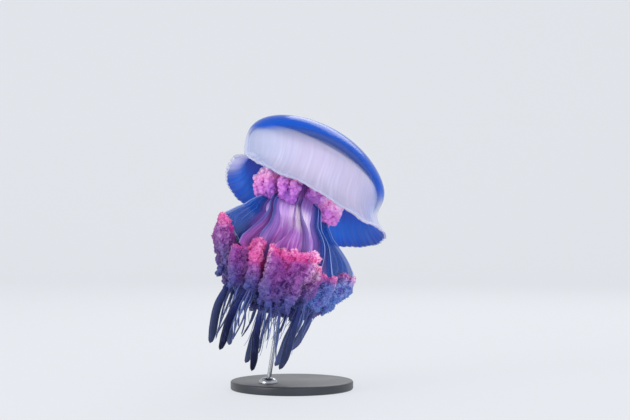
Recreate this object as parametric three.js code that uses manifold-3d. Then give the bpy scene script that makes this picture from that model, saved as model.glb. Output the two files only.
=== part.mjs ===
// A flame jellyfish (a large rhizostome) swimming, life size, carried over a round base by one slim rod.
// Millimetres, +Z up. The origin is the centre of the base's underside.
// The animal is shaped upright in its own frame, with its axis on Z and its bell rim near z = 0.
// It is then leaned and lifted onto the rod.

import * as THREE from 'three';
import { mergeVertices } from 'three/addons/utils/BufferGeometryUtils.js';
import Module from 'manifold-3d';

const wasm = await Module();
wasm.setup();

// ---- driving dimensions ----

const gap = 0.3; // clearance between touching pieces
const domeHeight = 108;
const domeRadius = 104.5;
const waistRadius = 102;
const waistHeight = 22;
const rimRadius = 122;
const rimDrop = 3;
const domeLean = 22; // how far the dome's top leans to the left
const stalkLean = 13; // how far left of the axis the mouth stalk hangs
const liningThickness = 1.6;
const liningGap = 0.7; // between the lining and the clear dome over it
const bellSegments = 40;
const lappetCount = 40;
const lappetDepth = 3.6;

const manubriumFoot = -64; // lowest point of the mouth stalk
const wingRoot = -8; // height at which the oral arms leave the stalk, one of its levels
const keelRadius = 33; // how near the arms come to the axis below the stalk

const bodyLean = 20; // degrees, towards +X
const bodyPitch = 18; // degrees, top away from the front
const rimHeight = 256; // of the rim's centre over the floor
const axisCrossing = 60; // distance below the rim at which the body's axis stands over the origin

const baseRadius = 85;
const baseHeight = 12;
const rodRadius = 3;
const rodFoot = new THREE.Vector3(-32, -30, baseHeight + gap);
const rodTop = new THREE.Vector3(0, 0, 222); // inside the stalk
const bossRadius = 13;
const bossHeight = 8;

// One row for each oral arm, going round the body: heading in degrees, how far out its frilled wings
// begin (reach), how far they stand apart (spread), the heights at which the frills begin and end
// (crest, foot), and the root (outward, sideways) and tip of the long club that hangs from it.
const arms = [
  { heading: 185, reach: 102, spread: 17, crest: -58, foot: -140, root: [62, 0], tip: [-58, 2, -232] },
  { heading: 230, reach: 85, spread: 17, crest: -89, foot: -162, root: [58, 0], tip: [-41, -46, -246] },
  { heading: 275, reach: 86, spread: 26, crest: -92, foot: -174, root: [54, -16], tip: [8, -46, -258] },
  { heading: 320, reach: 77, spread: 14, crest: -96, foot: -150, root: [54, -8], tip: [42, -34, -241] },
  { heading: 5, reach: 94, spread: 16, crest: -74, foot: -140, root: [56, 0], tip: [46, 6, -204] },
  { heading: 50, reach: 86, spread: 20, crest: -78, foot: -150, root: [56, 0], tip: [36, 44, -222] },
  { heading: 95, reach: 84, spread: 22, crest: -80, foot: -154, root: [54, 0], tip: [-4, 54, -230] },
  { heading: 140, reach: 90, spread: 20, crest: -70, foot: -150, root: [60, 0], tip: [-34, 46, -216] },
].map((arm, i) => ({ name: 'abcdefgh'[i], ...arm }));
const scapuletFeet = [-12, -16, -2, -16, -14, -15, -14, -12]; // how low the scapulets after each arm hang
const armSpacing = 360 / arms.length;

// ---- small helpers ----

const { lerp, degToRad, smoothstep } = THREE.MathUtils;
const turn = 2 * Math.PI;

function steps(count, make) {
  return Array.from({ length: count + 1 }, (_, i) => make(i / count));
}

// A closed surface from points and triangles, turned to face outwards.
function closedGeometry(points, triangles) {
  const volume = triangles.reduce((sum, [a, b, c]) => {
    const normal = new THREE.Vector3().crossVectors(points[b], points[c]);
    return sum + points[a].dot(normal);
  }, 0);
  const outward = volume < 0 ? triangles.map(([a, b, c]) => [a, c, b]) : triangles;
  const geometry = new THREE.BufferGeometry().setFromPoints(points);
  geometry.setIndex(outward.flat());
  return geometry;
}

// Rings joined one to the next. A ring of one point is a pole. With loop the last ring joins the first.
function ringSolid(rings, loop = false) {
  const starts = [];
  const points = [];
  for (const ring of rings) {
    starts.push(points.length);
    points.push(...ring);
  }
  const triangles = [];
  const pairs = loop ? rings.length : rings.length - 1;
  for (let k = 0; k < pairs; k++) {
    const next = (k + 1) % rings.length;
    const [n, m] = [rings[k].length, rings[next].length];
    const count = Math.max(n, m);
    for (let i = 0; i < count; i++) {
      const j = (i + 1) % count;
      const [a, b] = [starts[k] + (i % n), starts[k] + (j % n)];
      const [c, d] = [starts[next] + (i % m), starts[next] + (j % m)];
      if (n > 1) triangles.push([a, b, c]);
      if (m > 1) triangles.push([b, d, c]);
    }
  }
  return closedGeometry(points, triangles);
}

// Slices joined one to the next, with a flat cap at each end.
// place(point, k) puts a flat point of slice k in space.
function sliceSolid(slices, place) {
  const count = slices[0].length;
  const points = slices.flatMap((slice, k) => slice.map((p) => place(p, k)));
  const triangles = [];
  for (let k = 0; k + 1 < slices.length; k++) {
    for (let i = 0; i < count; i++) {
      const j = (i + 1) % count;
      const [low, high] = [k * count, (k + 1) * count];
      triangles.push([low + i, low + j, high + i], [low + j, high + j, high + i]);
    }
  }
  const last = (slices.length - 1) * count;
  for (const [a, b, c] of THREE.ShapeUtils.triangulateShape(slices[0], [])) triangles.push([a, c, b]);
  for (const [a, b, c] of THREE.ShapeUtils.triangulateShape(slices.at(-1), [])) {
    triangles.push([last + a, last + b, last + c]);
  }
  return closedGeometry(points, triangles);
}

function toManifold(geometry) {
  const bare = geometry.clone();
  bare.deleteAttribute('normal');
  bare.deleteAttribute('uv');
  const merged = mergeVertices(bare, 1e-3);
  const vertProperties = merged.attributes.position.array;
  const triVerts = new Uint32Array(merged.index.array);
  return new wasm.Manifold(new wasm.Mesh({ numProp: 3, vertProperties, triVerts }));
}

function fromManifold(solid) {
  const { vertProperties, triVerts } = solid.getMesh();
  const geometry = new THREE.BufferGeometry();
  geometry.setAttribute('position', new THREE.BufferAttribute(new Float32Array(vertProperties), 3));
  geometry.setIndex(new THREE.BufferAttribute(new Uint32Array(triVerts), 1));
  return geometry;
}

const finish = (color, roughness, metalness = 0) => (
  new THREE.MeshStandardMaterial({ color, roughness, metalness })
);
const materials = {
  jelly: finish('#3f74cf', 0.25),
  lining: finish('#dcd6ee', 0.5),
  stalk: finish('#b79ad0', 0.4),
  frill: finish('#b8559f', 0.6),
  club: finish('#121d45', 0.3),
  steel: finish('#b9bcc0', 0.3, 1),
  base: finish('#2b2e35', 0.5),
};
materials.jelly.transparent = true;
materials.jelly.opacity = 0.6;

function named(name, geometry, material) {
  const mesh = new THREE.Mesh(geometry, material);
  mesh.name = name;
  return mesh;
}

// ---- bell: a thick clear dome, a thin lining under it, and a flared margin cut into lappets ----

const flat = (x, y) => new THREE.Vector2(x, y);
const bellCurve = new THREE.CurvePath();
bellCurve.add(new THREE.CubicBezierCurve(
  flat(0, domeHeight), flat(56, domeHeight), flat(99, 90), flat(domeRadius, 52),
));
bellCurve.add(new THREE.CubicBezierCurve(
  flat(domeRadius, 52), flat(105.5, 42), flat(101, 32), flat(waistRadius, waistHeight),
));
bellCurve.add(new THREE.CubicBezierCurve(
  flat(waistRadius, waistHeight), flat(103, 12), flat(113, 3), flat(rimRadius, -rimDrop),
));
const curveLengths = bellCurve.getCurveLengths();
const waistShare = curveLengths[1] / curveLengths[2]; // how far along the profile the waist is
const domeShares = steps(8, (s) => s * waistShare); // where the dome's rings lie, from its top down
const stalkRings = 3; // how many of them the top of the stalk reaches over

// The clear layer is thickest at the top, and thins sooner on the side that the dome leans to.
function jellyThickness(share, heading) {
  const left = ((1 - Math.cos(heading)) / 2) ** 2;
  const thinned = smoothstep(share, lerp(0.46, 0.1, left), waistShare * lerp(1.05, 0.72, left));
  return 21.5 - lerp(16.3, 17.5, left) * thinned - lerp(3.4, 2.2, left) * smoothstep(share, waistShare, 1);
}

// The rim rises and falls round the body. It curls up once, at the front left, and droops at the front right.
function rimLift(heading) {
  const degrees = THREE.MathUtils.euclideanModulo(THREE.MathUtils.radToDeg(heading), 360);
  const curl = 20 * Math.exp(-(((degrees - 204) / 26) ** 2));
  const droop = 14 * Math.exp(-(((degrees - 306) / 34) ** 2));
  return -1 - 3 * Math.cos(heading) - 6 * Math.sin(heading) ** 2 + curl - droop;
}

function leftLean(height) {
  return 3 * smoothstep(height, -10, 20) + domeLean * smoothstep(height, 35, 105);
}

function bellPoint(share, heading, depth, pull = 0) {
  const at = bellCurve.getPoint(Math.min(share, 1));
  const along = bellCurve.getTangent(Math.min(Math.max(share, 1e-4), 0.9999));
  const radius = Math.max(0, at.x + along.y * depth - along.x * pull);
  const height = at.y - along.x * depth - along.y * pull;
  const lift = rimLift(heading) * smoothstep(share, 0.72, 1);
  return new THREE.Vector3(
    radius * Math.cos(heading) - leftLean(height),
    radius * Math.sin(heading),
    height + lift,
  );
}

function bellRing(share, segments, depthAt, pullAt = () => 0) {
  return Array.from({ length: segments }, (_, i) => {
    const heading = (i / segments) * turn;
    return bellPoint(share, heading, depthAt(share, heading), pullAt(i));
  });
}

const onTop = () => 0;
const underJelly = (share, heading) => jellyThickness(share, heading);
const overLining = (share, heading) => jellyThickness(share, heading) + liningGap;
const underLining = (share, heading) => jellyThickness(share, heading) + liningGap + liningThickness;

function umbrella() {
  const shares = domeShares.slice(1);
  const outer = shares.map((s) => bellRing(s, bellSegments, onTop));
  const inner = shares.toReversed().map((s) => bellRing(s, bellSegments, underJelly));
  const top = [bellPoint(0, 0, 0)];
  const ceiling = [bellPoint(0, 0, jellyThickness(0, 0))];
  return ringSolid([top, ...outer, ...inner, ceiling]);
}

function subumbrella() {
  const shares = domeShares.slice(stalkRings - 1);
  const upper = shares.map((s) => bellRing(s, bellSegments, overLining));
  const lower = shares.toReversed().map((s) => bellRing(s, bellSegments, underLining));
  return ringSolid([...upper, ...lower], true);
}

function bellMargin() {
  const notch = (i) => (i % 2 ? lappetDepth : 0);
  const shares = steps(1, (s) => lerp(waistShare + 0.0025, 0.94, s));
  const edge = (depthAt) => bellRing(1, 2 * lappetCount, depthAt, notch);
  const outer = shares.map((s) => bellRing(s, 2 * lappetCount, onTop));
  const inner = shares.toReversed().map((s) => bellRing(s, 2 * lappetCount, underLining));
  return ringSolid([...outer, edge(onTop), edge(underLining), ...inner], true);
}

// ---- mouth stalk ----

// The stalk's axis and radius at a few levels, with straight lines between them.
const stalkLevels = [62, 24, -8, -26, -44, manubriumFoot].map((height) => ({
  height,
  radius: 11 + 22 * smoothstep(height, -64, -14) + 3 * smoothstep(height, 10, 60),
  centre: -stalkLean * smoothstep(height, -64, -16),
}));

function stalkAt(height) {
  if (height <= manubriumFoot) return stalkLevels.at(-1);
  const below = Math.max(1, stalkLevels.findIndex((level) => level.height < height));
  const [high, low] = [stalkLevels[below - 1], stalkLevels[below]];
  const share = Math.max(0, (high.height - height) / (high.height - low.height));
  return { radius: lerp(high.radius, low.radius, share), centre: lerp(high.centre, low.centre, share) };
}

function manubrium() {
  const segments = 20;
  const crown = domeShares.slice(1, stalkRings);
  crown[crown.length - 1] *= 0.98;
  const pole = [bellPoint(0, 0, overLining(0, 0))];
  const rings = crown.map((s) => bellRing(s, segments, overLining));
  const shoulder = rings.at(-1);
  for (const { height, radius, centre } of stalkLevels) {
    rings.push(shoulder.map((_, i) => {
      const heading = (i / segments) * turn;
      return new THREE.Vector3(radius * Math.cos(heading) + centre, radius * Math.sin(heading), height);
    }));
  }
  return ringSolid([pole, ...rings, [new THREE.Vector3(0, 0, manubriumFoot - 2)]]);
}

// ---- winged pieces: scapulets and oral arms, each cut by level slices with two wings, seen from above ----

// root: the inner face's distance from the axis, with half its width. notch: where the wings part.
// reach and spread: a wing's end, out and to the side. web: half a wing's thickness. roll: its thick border.
// filled: whether flesh fills the space between the wings, out to the notch.
function wingSlice({ root, halfRoot, notch, reach, spread, web, roll, filled = false }) {
  const middle = lerp(root, reach, 0.5);
  const side = [
    flat(root, halfRoot),
    flat(middle, lerp(halfRoot, spread, 0.5) + web),
    flat(reach - roll, spread + roll * 0.9),
    flat(reach + roll * 0.5, spread + roll * 0.8),
    flat(reach + roll * 0.8, spread - roll * 0.3),
    flat(reach - roll * 0.4, spread - roll * 0.8),
  ];
  if (!filled) side.push(flat(Math.min(middle, reach - roll), Math.max(0.6, 0.5 * spread - web)));
  const mirrored = side.map((p) => flat(p.x, -p.y));
  return [...mirrored, flat(notch, 0), ...side.toReversed()];
}

// A level offset, outwards and to the side of a heading.
function offset(heading, outward, sideways) {
  const upright = new THREE.Vector3(0, 0, 1);
  return new THREE.Vector3(outward, sideways, 0).applyAxisAngle(upright, degToRad(heading));
}

// Turns a slice's flat points to their heading round the stalk's centre at their height.
function placed(heading, height) {
  return (p) => offset(heading, p.x, p.y).add(new THREE.Vector3(stalkAt(height).centre, 0, height));
}

function wingedSolid(heading, heights, sliceAt) {
  return sliceSolid(heights.map(sliceAt), (p, k) => placed(heading, heights[k])(p));
}

const scapulet = { top: 34, reach: 61, spread: 9, roll: 6 };

function scapuletPair(heading, bottom) {
  const heights = steps(3, (s) => lerp(scapulet.top, bottom, s));
  return wingedSolid(heading, heights, (height) => {
    const s = (scapulet.top - height) / (scapulet.top - bottom);
    const swell = Math.sin(Math.PI * lerp(0.22, 0.82, s));
    const root = stalkAt(height).radius + gap + 0.6;
    const reach = lerp(root + 6, scapulet.reach, swell);
    const roll = scapulet.roll * lerp(0.6, 1, swell);
    return wingSlice({
      root,
      halfRoot: 6,
      notch: Math.max(root + 2, reach - roll),
      reach,
      spread: scapulet.spread * lerp(0.7, 1, swell),
      web: 1.6,
      roll,
      filled: true,
    });
  });
}

const ruffleCount = 3.5; // swellings of the frilled border from crest to foot
const hemReach = 64; // how far out the frills still are at their foot
const crestWidth = 17; // of the frilled border at its crest, from where it widens inwards
const keelShare = 0.5; // how far down the frills they reach the keel

// How far from the axis the frills begin, at a share of the way down them.
function frillRoot(arm, share) {
  return lerp(arm.reach - crestWidth, keelRadius, Math.min(1, share / keelShare));
}

// How far a wing stands to the side, at a distance from the axis.
function wingOffset(arm, radius) {
  return lerp(3.4, arm.spread - 1, (radius - keelRadius) / (arm.reach - keelRadius));
}

// What is left of the fins beside the frills: they end where the frills begin.
function lowFinSlice(arm, height) {
  const reach = frillRoot(arm, (arm.crest - height) / (arm.crest - arm.foot)) - 1;
  return wingSlice({
    root: keelRadius,
    halfRoot: 7,
    notch: lerp(keelRadius, reach, 0.45),
    reach: reach - 1,
    spread: wingOffset(arm, reach),
    web: 1.4,
    roll: 1.2,
  });
}

// The clear upper part of an arm, two thin fins that widen down to the crest of the frills.
function finSlice(arm, height) {
  if (height < arm.crest) return lowFinSlice(arm, height);
  const s = (wingRoot - height) / (wingRoot - arm.crest);
  const root = Math.max(stalkAt(height).radius + gap + 0.4, lerp(22, keelRadius, smoothstep(s, 0.2, 1)));
  const reach = lerp(root + 10, arm.reach, s ** 0.9);
  return wingSlice({
    root,
    halfRoot: lerp(6.5, 10, s),
    notch: lerp(root, reach, lerp(0.3, 0.45, s)),
    reach,
    spread: lerp(3.4, arm.spread - 1, s * s),
    web: 1.4,
    roll: lerp(2, 4.6, s ** 4),
  });
}

function frillReach(arm, share) {
  return lerp(arm.reach, hemReach, share * share);
}

function frillSlice(arm, height) {
  const s = (arm.crest - height) / (arm.crest - arm.foot);
  const ruffle = 1 + 0.14 * Math.sin(turn * ruffleCount * s);
  const ends = lerp(0.55, 1, smoothstep(s, 0, 0.14)) * lerp(0.5, 1, smoothstep(1 - s, 0, 0.2));
  const reach = frillReach(arm, s) - 9 * smoothstep(s, 0.8, 1);
  const roll = lerp(9.6, 8.4, s) * ruffle * ends;
  const root = frillRoot(arm, s);
  return wingSlice({
    root,
    halfRoot: Math.max(9, wingOffset(arm, root) + 3),
    notch: reach - 1.3 * roll,
    reach,
    spread: lerp(arm.spread, 14, s),
    web: 3,
    roll,
    filled: true,
  });
}

// A tapering thread of five sides that follows path(0..1).
function thread(path, radiusAt, rings, from = 0, to = 1) {
  const sides = 5;
  const circle = Array.from({ length: sides }, (_, i) => {
    const angle = (i / sides) * turn;
    return flat(Math.cos(angle), Math.sin(angle));
  });
  const shares = steps(rings, (s) => lerp(from, to, s));
  const slices = shares.map((s) => circle.map((p) => p.clone().multiplyScalar(radiusAt(s))));
  const centres = shares.map(path);
  return sliceSolid(slices, (p, k) => new THREE.Vector3(p.x, p.y, 0).add(centres[k]));
}

function clubPath(arm) {
  const top = placed(arm.heading, arm.foot - gap)(flat(...arm.root));
  const tip = new THREE.Vector3(...arm.tip);
  const bow = offset(arm.heading, 5, 0);
  return (s) => top.clone().lerp(tip, s).addScaledVector(bow, Math.sin(Math.PI * s));
}

const clubRadius = (s) => lerp(3.4, 5, smoothstep(s, 0, 0.35)) * lerp(1, 0.2, smoothstep(s, 0.4, 1) ** 1.2);

// Two shorter threads hang from each arm's wings, and are one piece with them.
function sideThread(arm, side) {
  const start = 0.68; // how far down the frills it leaves them
  const reach = frillReach(arm, start) - 3;
  const root = placed(arm.heading, lerp(arm.crest, arm.foot, start))(flat(reach, 13 * side));
  const sway = new THREE.Vector3(...arm.tip).sub(clubPath(arm)(0));
  const drop = lerp(arm.foot, arm.tip[2], 0.72) - root.z;
  sway.multiplyScalar(drop / sway.z);
  const outward = offset(arm.heading, 0, 4 * side);
  return thread(
    (s) => root.clone().addScaledVector(sway, s).addScaledVector(outward, s),
    (s) => lerp(3.2, 0.8, s),
    3,
  );
}

function frilledArm(arm) {
  const heights = steps(6, (s) => (s ? lerp(arm.crest, arm.foot, s) : arm.crest - 1.2));
  let solid = toManifold(wingedSolid(arm.heading, heights, (height) => frillSlice(arm, height)));
  for (const side of [-1, 1]) solid = solid.add(toManifold(sideThread(arm, side)));
  return fromManifold(solid);
}

function armFin(arm) {
  const levels = stalkLevels.map((level) => level.height);
  const heights = [
    ...levels.filter((height) => height <= wingRoot && height > arm.crest + 8),
    arm.crest,
    arm.crest - 0.6,
    lerp(arm.crest, arm.foot, 0.8 * keelShare),
  ];
  return wingedSolid(arm.heading, heights, (height) => finSlice(arm, height));
}

// ---- stand ----

const rodAxis = new THREE.Vector3().subVectors(rodTop, rodFoot);

// A round bar along the rod's axis, longer than it by the same length at each end.
function bar(radius, extra) {
  const geometry = new THREE.CylinderGeometry(radius, radius, rodAxis.length() + 2 * extra, 16);
  geometry.applyQuaternion(new THREE.Quaternion().setFromUnitVectors(
    new THREE.Vector3(0, 1, 0), rodAxis.clone().normalize(),
  ));
  const middle = rodFoot.clone().addScaledVector(rodAxis, 0.5);
  return geometry.translate(middle.x, middle.y, middle.z);
}

// A solid in the part's frame with the rod's socket cut out of it.
function socketed(geometry) {
  const socket = toManifold(bar(rodRadius + gap, 4 * gap + rodRadius));
  return fromManifold(toManifold(geometry).subtract(socket));
}

// The rod stands on the base's top, so its lower end is cut level.
function standRod() {
  const rod = toManifold(bar(rodRadius, rodRadius));
  const block = new THREE.BoxGeometry(4 * baseRadius, 4 * baseRadius, 2 * rodTop.z);
  block.translate(0, 0, rodFoot.z + rodTop.z);
  const above = toManifold(block);
  return fromManifold(rod.intersect(above));
}

function turned(outline, segments) {
  const points = outline.map(([x, y]) => flat(x, y));
  return new THREE.LatheGeometry(points, segments).rotateX(Math.PI / 2);
}

function standBase() {
  const edge = 2.5;
  return turned([
    [0, 0], [baseRadius - 1, 0], [baseRadius, 1], [baseRadius, baseHeight - edge],
    [baseRadius - edge, baseHeight], [0, baseHeight],
  ], 40);
}

function standBoss() {
  const outline = [[0, 0], ...steps(4, (s) => {
    const angle = (s * Math.PI) / 2;
    return [bossRadius * Math.cos(angle), bossHeight * Math.sin(angle)];
  })];
  outline[outline.length - 1][0] = 0;
  const boss = turned(outline, 24);
  boss.translate(rodFoot.x, rodFoot.y, rodFoot.z);
  return socketed(boss);
}

// ---- assembly ----

const jellyfish = new THREE.Group();
jellyfish.rotation.set(degToRad(-bodyPitch), degToRad(bodyLean), 0, 'YXZ');
const axis = new THREE.Vector3(0, 0, 1).applyEuler(jellyfish.rotation);
jellyfish.position.set(axis.x * axisCrossing, axis.y * axisCrossing, rimHeight);
jellyfish.updateMatrix();

jellyfish.add(named('umbrella', umbrella(), materials.jelly));
jellyfish.add(named('subumbrella', subumbrella(), materials.lining));
jellyfish.add(named('bell_margin', bellMargin(), materials.jelly));

arms.forEach((arm, i) => {
  const scapulets = scapuletPair(arm.heading + armSpacing / 2, scapuletFeet[i]);
  jellyfish.add(named(`scapulets_${arm.name}`, scapulets, materials.frill));
  jellyfish.add(named(`arm_${arm.name}_fins`, armFin(arm), materials.jelly));
  jellyfish.add(named(`arm_${arm.name}_frills`, frilledArm(arm), materials.frill));
  const upper = thread(clubPath(arm), clubRadius, 3, 0, 0.498);
  const lower = thread(clubPath(arm), clubRadius, 3, 0.502, 1);
  jellyfish.add(named(`club_${arm.name}_upper`, upper, materials.club));
  jellyfish.add(named(`club_${arm.name}_lower`, lower, materials.club));
});

const stalk = manubrium().applyMatrix4(jellyfish.matrix);

const part = new THREE.Group();
part.add(jellyfish);
part.add(named('manubrium', socketed(stalk), materials.stalk));
part.add(named('stand_base', standBase(), materials.base));
part.add(named('stand_boss', standBoss(), materials.steel));
part.add(named('stand_rod', standRod(), materials.steel));

export default part;
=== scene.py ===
import math
from contextlib import contextmanager

import bpy
import numpy as np
from mathutils import Matrix, Vector, noise


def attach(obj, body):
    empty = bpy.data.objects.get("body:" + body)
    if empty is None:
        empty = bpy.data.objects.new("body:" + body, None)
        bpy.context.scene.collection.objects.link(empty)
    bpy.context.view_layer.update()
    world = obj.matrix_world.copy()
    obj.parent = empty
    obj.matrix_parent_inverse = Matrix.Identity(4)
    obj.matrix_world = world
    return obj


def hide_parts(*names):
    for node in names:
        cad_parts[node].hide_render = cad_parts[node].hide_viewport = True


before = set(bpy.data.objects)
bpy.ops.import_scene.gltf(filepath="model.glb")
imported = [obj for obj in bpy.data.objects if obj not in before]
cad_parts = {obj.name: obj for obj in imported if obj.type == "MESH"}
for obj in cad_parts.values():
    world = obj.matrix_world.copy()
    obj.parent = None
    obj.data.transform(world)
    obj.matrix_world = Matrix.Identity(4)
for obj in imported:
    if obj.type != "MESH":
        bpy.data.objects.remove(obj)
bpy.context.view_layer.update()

# A flame jellyfish on a display stand. Shapes are worked out in millimetres in the animal's own
# upright frame, with its bell rim near z = 0, and then leaned onto the stand in metres.

view = {"place": (0.032, -2.063, 0.248), "lens": 85, "sensor": 36}  # metres, millimetres

bpy.ops.object.camera_add(location=view["place"], rotation=(math.radians(90), 0, 0))
camera = bpy.context.object
camera.data.lens = view["lens"]
camera.data.sensor_width = view["sensor"]
bpy.context.scene.camera = camera
bpy.context.scene.view_settings.view_transform = "Standard"


def linear(red, green, blue):
    # a colour from 0 to 255, as a paint chart gives it, in the light values that shaders take
    parts = np.array([red, green, blue]) / 255
    return (*np.where(parts < 0.04045, parts / 12.92, ((parts + 0.055) / 1.055) ** 2.4), 1)


class Socket:
    # wraps a shader socket, so that sums on it add Math nodes
    def __init__(self, finish, socket):
        self.finish, self.socket = finish, socket

    def math(self, operation, *others):
        terms = dict(enumerate((self, *others)))
        return self.finish.add("ShaderNodeMath", {"operation": operation}, terms)

    def output(self, name):
        return Socket(self.finish, self.socket.node.outputs[name])

    def __add__(self, other):
        return self.math("ADD", other)

    def __sub__(self, other):
        return self.math("SUBTRACT", other)

    def __rsub__(self, other):
        return self * -1 + other

    def __mul__(self, other):
        return self.math("MULTIPLY", other)

    __radd__, __rmul__ = __add__, __mul__


class Finish:
    # one material, or the world, and the nodes in it
    def __init__(self, name, owner=None):
        self.material = owner or bpy.data.materials.new(name)
        self.material.use_nodes = True
        self.tree = self.material.node_tree
        self.tree.nodes.clear()

    def add(self, kind, settings=None, inputs=None, output=0):
        node = self.tree.nodes.new(kind)
        for name, value in (settings or {}).items():
            if name == "stops":
                ramp = node.color_ramp
                while len(ramp.elements) < len(value):
                    ramp.elements.new(1)
                for element, (place, colour) in zip(ramp.elements, value):
                    element.position, element.color = place, colour
            else:
                setattr(node, name, value)
        for name, value in (inputs or {}).items():
            if isinstance(value, Socket):
                self.tree.links.new(value.socket, node.inputs[name])
            else:
                node.inputs[name].default_value = value
        return Socket(self, node.outputs[output]) if node.outputs else None

    def attributes(self, *names):
        return [self.add("ShaderNodeAttribute", {"attribute_name": name}, output="Fac") for name in names]

    def across(self, scale=(1, 1, 1)):
        # the piece's own map, stretched
        return self.stretched(self.add("ShaderNodeUVMap"), scale)

    def inSpace(self, scale=(1, 1, 1)):
        return self.stretched(self.add("ShaderNodeTexCoord", output="Object"), scale)

    def stretched(self, place, scale):
        return self.add("ShaderNodeMapping", inputs={"Vector": place, "Scale": scale})

    def part(self, vector, axis):
        return self.add("ShaderNodeSeparateXYZ", inputs={"Vector": vector}, output=axis)

    def limb(self):
        # 0 where a surface faces the eye, 1 at its outline
        return self.add("ShaderNodeLayerWeight", inputs={"Blend": 0.5}, output="Facing")

    def grain(self, vector, scale, detail=2, roughness=0.5):
        values = {"Vector": vector, "Scale": scale, "Detail": detail, "Roughness": roughness}
        return self.add("ShaderNodeTexNoise", inputs=values)

    def between(self, value, low, high, first=0, last=1):
        # goes smoothly from first to last while the value goes from low to high
        values = {"Value": value, "From Min": low, "From Max": high, "To Min": first, "To Max": last}
        return self.add("ShaderNodeMapRange", {"interpolation_type": "SMOOTHSTEP"}, values)

    def near(self, value, middle, close, far):
        # 1 closer to the middle than close, 0 further from it than far
        return 1 - self.between((value - middle).math("ABSOLUTE"), close, far)

    def ramp(self, value, rows):
        # each row is a place from 0 to 1 and the red, green and blue there
        stops = [(place, linear(*colour)) for place, *colour in rows]
        return self.add("ShaderNodeValToRGB", {"stops": stops}, {"Fac": value})

    def blend(self, share, low, high):
        # low and high are sockets, or red, green and blue
        low, high = [c if isinstance(c, Socket) else linear(*c) for c in (low, high)]
        return self.add("ShaderNodeMix", {"data_type": "RGBA"}, {0: share, 6: low, 7: high}, 2)

    def bump(self, height, distance, strength=1):
        values = {"Height": height, "Distance": distance, "Strength": strength}
        return self.add("ShaderNodeBump", inputs=values)

    def surface(self, **values):
        inputs = {name.replace("_", " "): value for name, value in values.items()}
        return self.close(self.add("ShaderNodeBsdfPrincipled", inputs=inputs))

    def close(self, shader):
        self.add("ShaderNodeOutputMaterial", inputs={"Surface": shader})
        return self.material


# how the animal is held
pose = {
    "lean": 20,  # degrees to the right
    "pitch": -18,  # degrees, with the top away from the front
    "rimHeight": 256,
    "axisCrossing": 60,  # how far under the rim the animal's axis meets the stand's
}

leaning = Matrix.Rotation(math.radians(pose["lean"]), 4, "Y")
tilt = leaning @ Matrix.Rotation(math.radians(pose["pitch"]), 4, "X")
upward = np.array(tilt.col[2][:3])
turnRows = np.array(tilt.to_3x3())
rimCentre = upward * pose["axisCrossing"]
rimCentre[2] = pose["rimHeight"]
mm = 0.001


def toWorld(places):
    return (places @ turnRows.T + rimCentre) * mm


def toBody(places):
    return (places / mm - rimCentre) @ turnRows


def step(value, low, high):
    # rises smoothly from 0 to 1 between low and high
    share = np.clip((value - low) / (high - low), 0, 1)
    return share * share * (3 - 2 * share)


def mix(low, high, share):
    return low + (high - low) * share


def read(items, name, width=3, kind=float):
    # one value of every vertex, triangle or corner of a mesh, as rows
    found = np.empty(len(items) * width, kind)
    items.foreach_get(name, found)
    return found.reshape(-1, width)


def points(mesh):
    return read(mesh.vertices, "co")


def vertexNormals(mesh):
    return read(mesh.vertices, "normal")


def setPoints(mesh, places):
    mesh.vertices.foreach_set("co", np.ascontiguousarray(places, float).ravel())
    mesh.update()


def setValues(mesh, values):
    for name, made in values.items():
        layer = mesh.attributes.new(name, "FLOAT", "POINT")
        layer.data.foreach_set("value", np.ascontiguousarray(made, np.float32))


def only(*pieces):
    # selects just these, the first of them as the active one
    bpy.ops.object.select_all(action="DESELECT")
    for piece in pieces:
        piece.select_set(True)
    if pieces:
        bpy.context.view_layer.objects.active = pieces[0]


@contextmanager
def editing(piece):
    # edit mode, with all of a piece selected
    only(piece)
    bpy.ops.object.mode_set(mode="EDIT")
    bpy.ops.mesh.select_all(action="SELECT")
    yield
    bpy.ops.object.mode_set(mode="OBJECT")


def wrapped(name, columns, rows, place, values=None):
    # a flat grid whose points are moved to place(across, down), both from 0 to 1, in the body's frame
    only()
    bpy.ops.mesh.primitive_grid_add(x_subdivisions=columns, y_subdivisions=rows, size=1)
    piece = bpy.context.object
    piece.name = piece.data.name = name
    flat = points(piece.data)
    across, down = flat[:, 0] + 0.5, flat[:, 1] + 0.5
    if values:
        setValues(piece.data, values(across, down))
    setPoints(piece.data, toWorld(place(across, down)))
    closeUp(piece)
    return piece


def closeUp(piece):
    # merges doubles and turns every face out
    with editing(piece):
        bpy.ops.mesh.remove_doubles(threshold=2e-6)
        bpy.ops.mesh.dissolve_degenerate(threshold=1e-7)
        bpy.ops.mesh.normals_make_consistent(inside=False)
    bpy.ops.object.shade_smooth()


def placed(name, mesh):
    piece = bpy.data.objects.new(name, mesh)
    bpy.context.collection.objects.link(piece)
    return piece


def joined(name, pieces):
    only(*pieces)
    bpy.ops.object.join()
    pieces[0].name = pieces[0].data.name = name
    return pieces[0]


def apply(piece, kind, **settings):
    only(piece)
    modifier = piece.modifiers.new("shape", kind)
    for name, value in settings.items():
        setattr(modifier, name, value)
    bpy.ops.object.modifier_apply(modifier=modifier.name)


def keep(piece, material, slotName, *nodes):
    piece.data.materials.clear()
    piece.data.materials.append(material)
    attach(piece, "root")
    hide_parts(*nodes)


# floor and backdrop
studio = {
    "paper": linear(233, 236, 241),
    "air": linear(226, 229, 234),  # the paper's colour under the lamps, and what shows past its edges
    "floorLight": 0.26,  # how much of the paper's look is left to the lamps and to shadows
    "width": 9,
    "length": 8,
    "depth": 4.2,  # how far behind the stand the paper turns up
    "curve": 1.3,
    "height": 5,
    "worldColour": (0.96, 0.97, 1, 1),
    "world": 0.72,
}


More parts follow.
